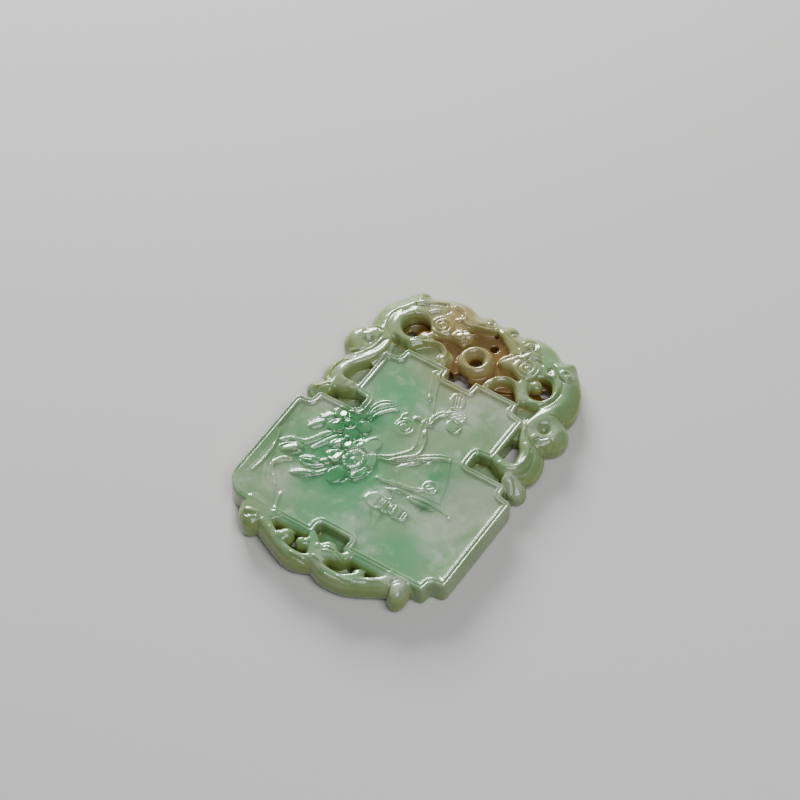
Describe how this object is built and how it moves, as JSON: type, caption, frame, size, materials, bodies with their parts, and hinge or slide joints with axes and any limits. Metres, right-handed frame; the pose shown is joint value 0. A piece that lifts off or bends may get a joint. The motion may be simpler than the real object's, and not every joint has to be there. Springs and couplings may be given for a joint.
{
  "type": "carved jade pendant plaque",
  "caption": "Stepped jade plaque with notched corners and a carved panel of blossom and branches, framed by pierced facing dragons, with a ring at the top to hang it by.",
  "frame": {"origin": "middle of the flat underside of the whole plaque, which lies face up", "axes": "+Y from the small dragons at the foot to the large dragons at the head, +X to the right of the carved face, +Z out of the carved face"},
  "size_m": [0.0422, 0.0606, 0.0044],
  "materials": {
    "jade": "pale green jadeite with emerald patches, polished, translucent at thin edges"
  },
  "bodies": {
    "root": {"jade_plaque": "jade"}
  },
  "joints": []
}
